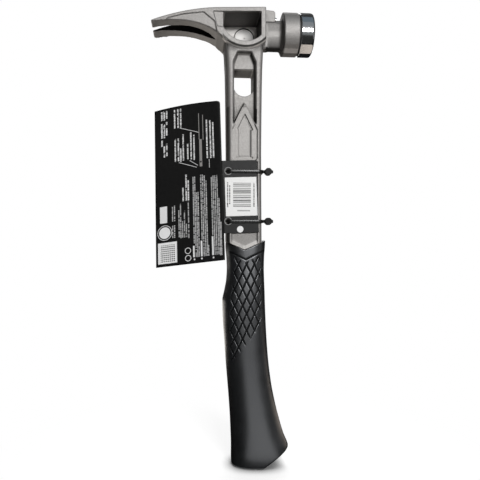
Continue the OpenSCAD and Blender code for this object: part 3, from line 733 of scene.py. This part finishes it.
def grip_carving(x, y, z):
    """Depths of the diamond lattice and of the V groove, on the front and the back."""
    v = z - (V_TIP_Z + NOTCH_H * np.abs(x - 1) * 2 / GRIP_W * 1.1)
    groove = V_DEPTH * np.exp(-(v / V_HALF) ** 2) * rise(np.abs(y), 9, 4)
    # Distance to the nearer of the grooves that cross, in millimetres
    a, b = (x - DIAMOND_X) / DIAMOND_W, (z - DIAMOND_Z) / DIAMOND_H
    near = np.minimum(*(np.abs(u - np.round(u - 0.5) - 0.5) for u in (a + b, a - b)))
    lattice = LATTICE_DEPTH * ease(1 - near * DIAMOND_STEP / LATTICE_HALF)
    field = rise(x - np.interp(z, *LATTICE_LEFT), 0, 1.5) * rise(-x, -LATTICE_RIGHT, 1.5)
    field = field * rise(z - LATTICE_SLOPE * (x + 8), LATTICE_LOW, 8) * rise(-v, 2.5, 1.5)
    return lattice * field * rise(np.abs(y), GRIP_T * 0.31, 2.0), groove


def grip():
    """The rubber grip: a skin of rings from the foot to the notched top, with its carving."""
    # The top and the foot follow the sides, which lean, so both are found step by step
    top, foot = np.full(GRIP_COLS, 218.0), np.full(GRIP_COLS, 3.0)
    for _ in range(12):
        top = grip_top(grip_section(top)[0])
        foot = grip_foot(grip_section(foot)[0])
    # Heights and insets of the rings: rounded lower edge, side, and rounded upper lip
    side_z, side_h = foot + FOOT_EDGE, top - LIP - foot - FOOT_EDGE
    rings = [(foot + FOOT_EDGE * (1 - sin(a)), FOOT_EDGE * (1 - cos(a)))
             for a in arc(7)[:0:-1]]
    rings += [(side_z + side_h * k / GRIP_LEVELS, 0.0) for k in range(GRIP_LEVELS + 1)]
    rings += [(top - LIP + LIP * sin(a), LIP * (1 - cos(a))) for a in arc(4)[1:]]
    verts, depths = [], []
    for z, inset in rings:
        x, y = grip_section(z, inset)
        lattice, groove = grip_carving(x, y, z)
        verts.append(np.stack([x, y - np.sign(y) * (lattice + groove), z], axis=1))
        depths.append(np.minimum(1, lattice / LATTICE_DEPTH + groove / V_DEPTH) * 0.85)
    depths = np.concatenate(depths)
    faces = []
    for i in range(len(rings) - 1):
        for j in range(GRIP_COLS):
            a, b = i * GRIP_COLS + j, i * GRIP_COLS + (j + 1) % GRIP_COLS
            faces.append((a, b, b + GRIP_COLS, a + GRIP_COLS))
    # Foot and top are closed by strips across the thickness
    for i, turn in ((0, True), (len(rings) - 1, False)):
        for j in range(GRIP_COLS // 2):
            across = (j, j + 1, (GRIP_COLS - j - 1) % GRIP_COLS, (GRIP_COLS - j) % GRIP_COLS)
            ids = [i * GRIP_COLS + q for q in dict.fromkeys(across)]
            if len(ids) >= 3:
                faces.append(tuple(reversed(ids)) if turn else tuple(ids))
    ob = add_mesh("grip_rubber", np.concatenate(verts), faces)
    # The groove depths also blacken the rubber's colour, as painted shade
    ob.data.attributes.new("groove", "FLOAT", "POINT").data.foreach_set("value", depths)
    place(ob, "hammer", "grip_rubber",
          rubber("moulded_rubber", 1.0, 0.6), rubber("rubber_in_grooves", 0.15))
    in_groove = [int(depths[list(q.vertices)].mean() > 0.2) for q in ob.data.polygons]
    ob.data.polygons.foreach_set("material_index", in_groove)
    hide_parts("grip")


grip()


# ---- tag

LEAN = radians(-1.9)
PANEL_TURN = radians(-15)
PANEL_W, PANEL_H = 67.0, 153.0


def lean(x, y, z):
    """A point of the upright card, leaned about the fold as the CAD leans it."""
    dx, dz = x - FOLD_X, z - FLAP_Z
    return (FOLD_X + dx * cos(LEAN) + dz * sin(LEAN), y,
            FLAP_Z - dx * sin(LEAN) + dz * cos(LEAN))


def panel_point(l, h, out):
    """A point of the large panel: l from the fold, h above the flap's middle and out from its
    plane."""
    c, s = cos(PANEL_TURN), sin(PANEL_TURN)
    return lean(FOLD_X - l * c - out * s, FOLD_Y - l * s + out * c, FLAP_Z + h)


def panel_print():
    m, base = card("printed_card", 0.007)
    s, t, _ = m.split(m.node("ShaderNodeUVMap", uv_map="print").outputs[0])
    u, v = m.times(s, PANEL_W), m.times(t, PANEL_H)
    k = Print(m, u, v)
    # Rows of broken marks: u, lower end and upper end
    title = [(59.6, 142, 150.5), (59.7, 125, 139), (59.7, 117, 123), (57.1, 142, 150.5),
             (57.2, 125, 138), (57.4, 106, 117), (54.6, 143, 150.5), (54.7, 136, 140),
             (54.8, 127, 134), (54.9, 107, 119)]
    heads = [(46.5, 132, 150), (43.1, 132, 150), (40.3, 132, 150),
             (46.3, 100, 122), (43.1, 100, 122), (40.8, 99, 112), (38.2, 100, 125),
             (33.7, 100, 116), (30.3, 100, 126), (27.3, 99, 123),
             (14.2, 99, 136), (10.7, 99, 135), (7.9, 99, 133),
             (39.2, 61, 74), (36.0, 61, 86), (33.9, 60, 81)]
    small = [(43.7, 27, 53), (42.0, 26, 59), (40.2, 26, 42), (38.2, 26, 52), (36.4, 26, 39),
             (34.2, 25, 59),
             (50.0, 43, 57), (50.1, 27, 39), (48.0, 43, 58), (48.2, 27, 39),
             (29.0, 19, 83), (27.4, 6, 83), (25.8, 6, 68), (24.3, 6, 68),
             (21.3, 22, 84), (19.7, 6, 84), (17.9, 6, 83), (16.2, 6, 78), (15.2, 6, 16),
             (10.8, 25, 81), (9.1, 6, 82), (7.3, 6, 82), (5.4, 6, 82), (3.9, 5, 60), (2.7, 5, 37)]
    words = m.join(m.times(m.math("ROUND", m.times(u, 0.62)), 7.3), v)
    fit = m.between(m.noise(0.55, 1.5, 0.6, at=words), 0, 1, 0.36, 0.44)
    letters = m.between(m.noise(1.5, 1, at=words), 0.45, 1, 0.4, 0.6)
    broken = m.times(fit, letters)
    solid = m.most([k.bar(29.6, 11.5, 0.8, 5.5), k.bar(22.0, 13.5, 0.8, 7.5),
                    k.bar(11.1, 15, 0.8, 9), k.bar(59.0, 50.5, 3.6, 8.0),
                    k.line((41.5, 131.6), (21.7, 124.5), 0.4),
                    k.line((42.9, 98.6), (25.0, 91.7), 0.4),
                    k.line((31.9, 99.0), (23.9, 93.5), 0.4), k.line((12.4, 90), (12.4, 98), 0.4),
                    k.round(58.0, 32.9, 7.0, 0.5), k.round(35.4, 12.9, 2.7, 0.6),
                    k.round(35.3, 5.8, 2.7, 0.6), k.round(29.2, 3.9, 0.8),
                    k.round(22.0, 4.0, 0.8), k.round(10.8, 3.7, 0.8)])
    tool = m.most([k.bar(20.7, 105, 1.3, 13), k.bar(22.0, 130.5, 0.35, 12.5),
                   k.bar(18.0, 129, 0.35, 12)])
    tool = m.times(tool, m.math("SUBTRACT", 1.0, k.round(20.8, 96.5, 0.9)))
    # Dots in rows on the pale square
    square = k.bar(55.5, 13.2, 9.4, 10.2)
    across, up = (m.math("SUBTRACT", m.math("FRACT", m.times(w, 0.5)), 0.5) for w in (u, v))
    dots = m.math("MULTIPLY_ADD", m.length(across, up), -8.0, 3.2, clamp=True)
    dots = m.times(dots, k.bar(55.2, 12.8, 7.4, 8.2))
    colour = base
    for mask, ink in ((m.times(k.columns(small, 0.5), broken), grey(0.68)),
                      (m.times(k.columns(heads, 0.7), broken), grey(0.96)),
                      (m.times(k.columns(title, 0.75), broken), grey(0.96)),
                      (solid, grey(0.88)), (tool, (0.30, 0.29, 0.28)),
                      (k.round(58.0, 32.9, 5.6), grey(0.93)), (square, grey(0.96)),
                      (dots, grey(0.02))):
        colour = m.tint(mask, colour, ink)
    return m.shade(colour)


PANEL_COLS, PANEL_ROWS = 48, 110
# Rounded corner: its radius and the height of its centre
CORNER_R, CORNER_TOP = 2.6, 90.0


def panel_grid():
    """Places on the panel: distance from the fold and height above the flap's middle."""
    # Heights of the upper and lower edge, and the upper edge's distances, at shares of the width
    upper = np.polyfit([0, 0.454, 1], [92.7, 92.0, 86.9], 2)
    lower = np.polyfit([0, 0.5, 1], [-60.6, -63.6, -66.7], 2)
    upper_l = np.polyfit([0, 0.454, 1], [-0.5, 29.3, 65.1], 2)
    grid = np.zeros((PANEL_ROWS + 1, PANEL_COLS + 1, 2))
    for i in range(PANEL_ROWS + 1):
        t = i / PANEL_ROWS
        for j in range(PANEL_COLS + 1):
            s = j / PANEL_COLS
            l = (1 - t) * (-0.3 + 69.6 * s) + t * np.polyval(upper_l, s)
            h = (1 - t) * np.polyval(lower, s) + t * np.polyval(upper, s)
            # Rounded corner at the fold's upper end
            a, b = CORNER_R - l, h - CORNER_TOP
            if a > 0 and b > 0:
                q = max(a, b) / hypot(a, b)
                l, h = CORNER_R - a * q, CORNER_TOP + b * q
            grid[i, j] = (l, h)
    return grid


def panel_bow(i, j):
    """The card's own slight curl away from its plane, none at the fold."""
    s, t = j / PANEL_COLS, i / PANEL_ROWS
    curl = 0.9 * sin(pi * s) * (0.4 + 0.6 * t) + 1.2 * s * s * (0.5 - t)
    return curl * min(1, j / 6)


def tag_panel(back):
    """The large panel: printed front, plain back and cut edge."""
    cols, rows = PANEL_COLS, PANEL_ROWS
    grid = panel_grid()
    verts = [panel_point(*grid[i, j], panel_bow(i, j) - side * CARD_T / 2)
             for side in (1, -1) for i in range(rows + 1) for j in range(cols + 1)]
    faces, slots, uvs = [], [], []

    def at(side, i, j):
        return (side * (rows + 1) + i) * (cols + 1) + j

    for i in range(rows):
        for j in range(cols):
            corners = ((i, j), (i + 1, j), (i + 1, j + 1), (i, j + 1))
            for side, order in ((0, corners), (1, corners[::-1])):
                faces.append([at(side, *q) for q in order])
                slots.append(side)
                uvs += [(b / cols, a / rows) for a, b in order]
    rim = ([(0, j) for j in range(cols)] + [(i, cols) for i in range(rows)]
           + [(rows, j) for j in range(cols, 0, -1)] + [(i, 0) for i in range(rows, 0, -1)])
    for a, b in zip(rim, rim[1:] + rim[:1]):
        faces.append((at(0, *a), at(0, *b), at(1, *b), at(1, *a)))
        slots.append(2)
        uvs += [(0, 0)] * 4
    ob = add_mesh("tag_card_panel", verts, faces, slots)
    layer = ob.data.uv_layers.new(name="print")
    layer.data.foreach_set("uv", [c for uv in uvs for c in uv])
    place(ob, "tag", "tag_card", panel_print(), back, card("card_edge", 0.05)[0].m)
    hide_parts("tag_panel")


def card_fold(material):
    """The fold, a round bend as high as the flap."""
    prof = [(-35.0, 0), (-35.0, 0.35), (-34.8, 0.6), (34.8, 0.6), (35.0, 0.35), (35.0, 0)]
    ob = loft("card_fold", turned(prof, 20, lambda h, r, a: lean(
        FOLD_X + r * cos(a), FOLD_Y + r * sin(a), FLAP_Z + h)))
    place(ob, "tag", "tag_card", material)


def flap_card():
    """The flap's card, with a pale dot and pale rims round the ties' holes."""
    m, base = card("flap_card", 0.020)
    x, _, z = m.in_mm()
    k = Print(m, x, z)
    colour = m.tint(m.most([k.round(-15.9, h, 3.35, 0.7) for h in TIES]), base, grey(0.30))
    return m.shade(m.tint(k.round(-4.4, 233.3, 3.1), colour, grey(0.93)))


def label_paper():
    m = Mat("label_paper")
    x, _, z = m.in_mm()
    k = Print(m, x, z)
    fibre = m.noise(900, 3)
    base = m.tint(m.between(fibre, 0, 1), (0.89, 0.89, 0.88), (0.95, 0.95, 0.94))
    # Plain even stripes, and rows of short marks
    widths = (0.9, 0.5, 0.5, 1.2, 0.5, 0.9, 0.5, 0.5, 1.2, 0.9, 0.5, 0.5, 0.9, 0.5)
    stripes = m.most([k.bar(-2.7, 255.6 + 1.7 * i, 8.6, w / 2) for i, w in enumerate(widths)])
    rows = m.most([k.bar(-16.6, 266.5, 0.55, 12.0), k.bar(-14.6, 266.5, 0.55, 9.0),
                   k.bar(8.9, 266.5, 0.55, 11.5), k.bar(-1.0, 251.2, 6.2, 0.5)])
    words = m.join(m.split(m.co)[0], z)
    broken = m.between(m.noise(1.3, 1, at=words), 0, 1, 0.42, 0.5)
    ink = m.most([stripes, m.times(rows, broken)])
    return m.shade(m.tint(ink, base, grey(0.02)),
                   m.between(fibre, 0.5, 0.62), m.bump(fibre, 0.00002, 0.5))


CARD_BACK = card("card_back", 0.008)[0].m
tag_panel(CARD_BACK)
card_fold(CARD_BACK)
dress("tag_flap", 0.15, flap_card())
dress("tag_label", 0.08, label_paper())


# ---- ties

# Strap: thickness, width and radius of its edges
STRAP_T, STRAP_W, STRAP_EDGE = 1.3, 3.1, 0.55
# Slack between the ties and what they hold, and the radius of a strap's corner
SLACK, TIE_CORNER = 0.6, 4.5
# Head: distance from the strap, size across, cut of its corners, and the end stub's half height
HEAD_GAP, HEAD_SIZE, HEAD_CUT, STUB_HALF = 2.4, 7.0, 2.0, 1.5
# Faces of a box whose corners count up with z first, then y, then x
BOX_FACES = ((0, 1, 3, 2), (4, 6, 7, 5), (0, 4, 5, 1), (2, 3, 7, 6), (0, 2, 6, 4), (1, 5, 7, 3))


def corner_arcs(x1, y0, y1, x0=None):
    """Centres and first angles of the four corners of a rounded loop."""
    x0 = -x1 if x0 is None else x0
    return ((x1, y1, 0), (x0, y1, 90), (x0, y0, 180), (x1, y0, 270))


def tie(name, node, z0, strap_nylon, head_nylon):
    """A strap closed round the handle, with its head and its clipped end."""
    side, back = SHAFT_W / 2 + SLACK, SHAFT_T / 2 + SLACK
    front = SHAFT_T / 2 + CARD_T + LABEL_T + SLACK
    loop = corner_arcs(side - TIE_CORNER, TIE_CORNER - front, back - TIE_CORNER)
    path = [(cx, cy, a) for cx, cy, first in loop for a in arc(10, first)]
    # Section of the strap with rounded edges: distance out and height
    up = STRAP_W / 2 - STRAP_EDGE
    section = [(cx + STRAP_EDGE * cos(a), cz + STRAP_EDGE * sin(a))
               for cx, cz, first in corner_arcs(STRAP_T - STRAP_EDGE, -up, up, STRAP_EDGE)
               for a in arc(3, first)]
    verts = [(cx + (TIE_CORNER + out) * cos(a), cy + (TIE_CORNER + out) * sin(a), z0 + h)
             for cx, cy, a in path for out, h in section]
    n, m = len(path), len(section)
    faces = [(i * m + j, (i + 1) % n * m + j, (i + 1) % n * m + (j + 1) % m, i * m + (j + 1) % m)
             for i in range(n) for j in range(m)]
    strap = add_mesh(name, verts, faces)
    place(strap, "hammer", "tie_plastic", strap_nylon)
    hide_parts(node)

    # Head: an eight-sided block, the strap's end that goes in and the clipped end that comes out
    x0, y0 = side + HEAD_GAP, -SHAFT_T / 2
    half, flat = HEAD_SIZE / 2, HEAD_SIZE / 2 - HEAD_CUT
    rim = [(-half, -flat), (-half, flat), (-flat, half), (flat, half),
           (half, flat), (half, -flat), (flat, -half), (-flat, -half)]
    verts = [(x0 + half + x, y, z0 + z) for y in (y0 - 1.3, y0 + 5.7) for x, z in rim]
    faces = [tuple(range(8)), tuple(range(15, 7, -1))]
    faces += [(q + 8, (q + 1) % 8 + 8, (q + 1) % 8, q) for q in range(8)]
    for ax, bx, thick in ((side - 0.4, x0 + 0.8, 1.3), (x0 + 6.2, x0 + 8.4, 1.2)):
        k = len(verts)
        verts += [(x, y, z0 + z) for x in (ax, bx) for y in (y0 + 1.0, y0 + 1.0 + thick)
                  for z in (-STUB_HALF, STUB_HALF)]
        faces += [tuple(k + q for q in f) for f in BOX_FACES]
    head = add_mesh(name + "_head", verts, faces)
    bevel(head, 0.55, 4)
    place(head, "hammer", "tie_plastic", head_nylon)


# The drawn straps shine more than the moulded heads
NYLONS = nylon("drawn_nylon", 0.5, 0.24), nylon("moulded_nylon", 0.16, 0.46)
tie("upper_tie_strap", "upper_tie", TIES[0], *NYLONS)
tie("lower_tie_strap", "lower_tie", TIES[1], *NYLONS)


# ---- floor, light and camera

FLOOR_R, FLOOR_SIDES = 3000, 96
# The floor's own grey, and the glow that lifts it to white where no shadow lies
FLOOR_GREY, FLOOR_LIFT = 0.50, 0.74
# Reach of the contact shadow in metres, and the open share of the sky from full to no shadow
CONTACT, SHADOWED, OPEN = 0.014, 0.42, 0.95
# The floor is plain white beyond a ring round the butt, between these distances in metres
WHITE_FROM, WHITE_TO = 0.09, 0.26
WHITE = (1, 1, 1, 1)
# Strength of the sky that lights the pieces
SKY_LIGHT = 0.06


def bare_material(ob):
    """Gives the piece a material with an empty tree, and returns the tree."""
    m = bpy.data.materials.new(ob.name)
    m.use_nodes = True
    m.node_tree.nodes.clear()
    ob.data.materials.append(m)
    return Tree(m.node_tree)


def floor():
    """A grey floor that a glow lifts to white, so that it keeps the shadow."""
    ring = [(FLOOR_R * cos(a), FLOOR_R * sin(a), 0)
            for a in (2 * pi * k / FLOOR_SIDES for k in range(FLOOR_SIDES))]
    ob = loft("floor", [[(0, 0, 0)], ring[::-1]])
    t = bare_material(ob)
    seen = t.seen()
    far = t.node("ShaderNodeVectorMath", operation="LENGTH")
    t.feed(far.inputs[0], t.node("ShaderNodeTexCoord").outputs["Object"])
    white = t.make("ShaderNodeMapRange", far.outputs["Value"], WHITE_FROM, WHITE_TO,
                   interpolation_type="SMOOTHSTEP")
    # Near the butt the lift to white fades where the butt stands close to the floor
    near = t.node("ShaderNodeAmbientOcclusion", samples=8)
    near.inputs["Distance"].default_value = CONTACT
    open_sky = t.make("ShaderNodeMapRange", near.outputs["AO"], SHADOWED, OPEN)
    lift = t.times(t.times(seen, FLOOR_LIFT), open_sky)
    shadowed = t.make("ShaderNodeAddShader",
                      t.make("ShaderNodeBsdfDiffuse", (*grey(FLOOR_GREY), 1)),
                      t.make("ShaderNodeEmission", WHITE, lift))
    plain = t.make("ShaderNodeEmission", WHITE)
    mix = t.make("ShaderNodeMixShader", t.times(seen, white), shadowed, plain)
    t.make_output("ShaderNodeOutputMaterial", mix)


def world():
    """A dim sky, which looks white to the rays that show it."""
    w = bpy.data.worlds.new("studio")
    bpy.context.scene.world = w
    w.use_nodes = True
    w.node_tree.nodes.clear()
    t = Tree(w.node_tree)
    soft = t.make("ShaderNodeBackground", WHITE, SKY_LIGHT)
    white = t.make("ShaderNodeBackground", WHITE, 1.0)
    t.make_output("ShaderNodeOutputWorld", t.make("ShaderNodeMixShader", t.seen(), soft, white))


floor()
world()


def toward(azimuth, elevation):
    """A direction. Azimuth 0 is in front of the open side, and 90 degrees is the face's side."""
    a, e = radians(azimuth), radians(elevation)
    return Vector((sin(a) * cos(e), -cos(a) * cos(e), sin(e)))


def lamp(name, azimuth, elevation, distance, size, power, aim):
    """A soft lamp of the size (wide, tall), turned to its aim."""
    d = bpy.data.lights.new(name, "AREA")
    d.shape = "RECTANGLE"
    d.size, d.size_y = size
    d.energy = power
    ob = bpy.data.objects.new(name, d)
    ob.location = Vector(aim) + distance * toward(azimuth, elevation)
    ob.rotation_euler = (Vector(aim) - ob.location).to_track_quat("-Z", "Y").to_euler()
    bpy.context.scene.collection.objects.link(ob)


lamp("key", 14, 14, 1.4, (0.5, 0.27), 14, (0, 0, 0.3))
lamp("top", 170, 46, 1.3, (0.9, 0.9), 8.5, (0, 0, 0.1))


# Sphere of the walls, and the strips' distance from the striking axis and their end, in metres
WALL_CENTRE, WALL_R = Vector((0, 0, 0.35)), 1.7
STRIP_R, STRIP_END = 0.42, 0.5


def mirror_card(name, rows, tone):
    """A card that only reflections see, as a studio's flags and grey walls.
    rows is a grid of points in metres."""
    verts = [tuple(c / MM for c in p) for row in rows for p in row]
    n = len(rows[0])
    faces = [(i * n + j, i * n + j + 1, (i + 1) * n + j + 1, (i + 1) * n + j)
             for i in range(len(rows) - 1) for j in range(n - 1)]
    ob = add_mesh(name, verts, faces)
    t = bare_material(ob)
    t.make_output("ShaderNodeOutputMaterial", t.make("ShaderNodeEmission", (*tone, 1)))
    ob.visible_camera = False
    ob.visible_diffuse = False
    ob.visible_shadow = False
    ob.visible_transmission = False


def wall(name, az0, az1, el0, el1, tone):
    """A piece of the sphere of cards round the hammer, between two azimuths and elevations."""
    mirror_card(name, [[WALL_CENTRE + WALL_R * toward(az0 + (az1 - az0) * j / 16,
                                                      el0 + (el1 - el0) * i / 8)
                        for j in range(17)] for i in range(9)], tone)


def strip(name, el0, el1, tone, x0=0.05):
    """A long card beside the striking axis, from one elevation to another round it."""
    angles = [radians(el0 + (el1 - el0) * i / 6) for i in range(7)]
    mirror_card(name, [[(x, -STRIP_R * cos(e), AXIS_Z * MM + STRIP_R * sin(e))
                        for x in (x0, STRIP_END)] for e in angles], tone)


def mat(name, x0, x1, y0, y1, tone):
    """A card just over the floor."""
    mirror_card(name, [[(x, y, 0.002) for x in (x0, x1)] for y in (y0, y1)], tone)


def cut_mat(name, near, far, tone):
    """A mat in front of the butt, with its ends in x at two distances."""
    mirror_card(name, [[(x, y, 0.001) for x in ends] for ends, y in ((near, -0.02), (far, -0.5))],
                tone)


wall("wall_front", -28, 80, -8, 62, (0.30, 0.295, 0.29))
wall("wall_left", -150, -28, -12, 62, grey(0.012))
wall("wall_right", 80, 150, -12, 62, grey(0.015))
wall("wall_back", 150, 210, -40, 62, grey(0.012))
wall("ceiling", -180, 180, 63, 90, grey(0.16))
cut_mat("mat_front_left", (-1.6, -0.012), (-1.6, -0.06), grey(0.004))
mat("mat_far_left", -1.6, -0.06, -1.75, -0.5, grey(0.02))
cut_mat("mat_front_right", (0.043, 1.6), (0.16, 1.6), grey(0.01))
mat("mat_front_far", -0.06, 1.6, -1.75, -0.5, grey(0.34))
mat("mat_left", -1.6, -0.03, -0.02, 0.4, grey(0.006))
mat("mat_right", 0.05, 1.6, -0.02, 1.6, grey(0.01))
mat("mat_back", -0.03, 0.05, 0.03, 0.4, grey(0.015))
mat("mat_back_left", -1.2, -0.05, 0.4, 1.6, (1.5, 1.42, 1.32))
mat("mat_back_mid", -0.05, 0.05, 0.4, 1.6, grey(0.01))
mat("mat_under", -0.03, 0.05, -0.034, 0.03, grey(0.006))
strip("strip_low", -60, -18, (0.04, 0.04, 0.038))
strip("strip_level", -17, 2, (0.20, 0.21, 0.21))
strip("strip_high", 27, 50, (0.34, 0.37, 0.39))
strip("strip_blue", 51, 84, (0.20, 0.25, 0.29))
strip("strip_back", 85, 165, grey(0.06))
strip("strip_under", -106, -84, (0.98, 0.86, 0.75), x0=0.11)

# The camera stands to the claws' side of square and looks level
CAMERA_TURN = radians(5)
CAMERA_DISTANCE, CAMERA_AIM = 0.52, (-0.003, 0, 0.2229)


def camera():
    c = bpy.data.cameras.new("camera")
    c.lens = 39
    c.sensor_width = 36
    c.clip_start = 0.01
    ob = bpy.data.objects.new("camera", c)
    ahead = Vector((sin(CAMERA_TURN), cos(CAMERA_TURN), 0))
    ob.location = Vector(CAMERA_AIM) - CAMERA_DISTANCE * ahead
    ob.rotation_euler = ahead.to_track_quat("-Z", "Y").to_euler()
    bpy.context.scene.collection.objects.link(ob)
    bpy.context.scene.camera = ob


camera()
bpy.context.scene.view_settings.view_transform = "Standard"
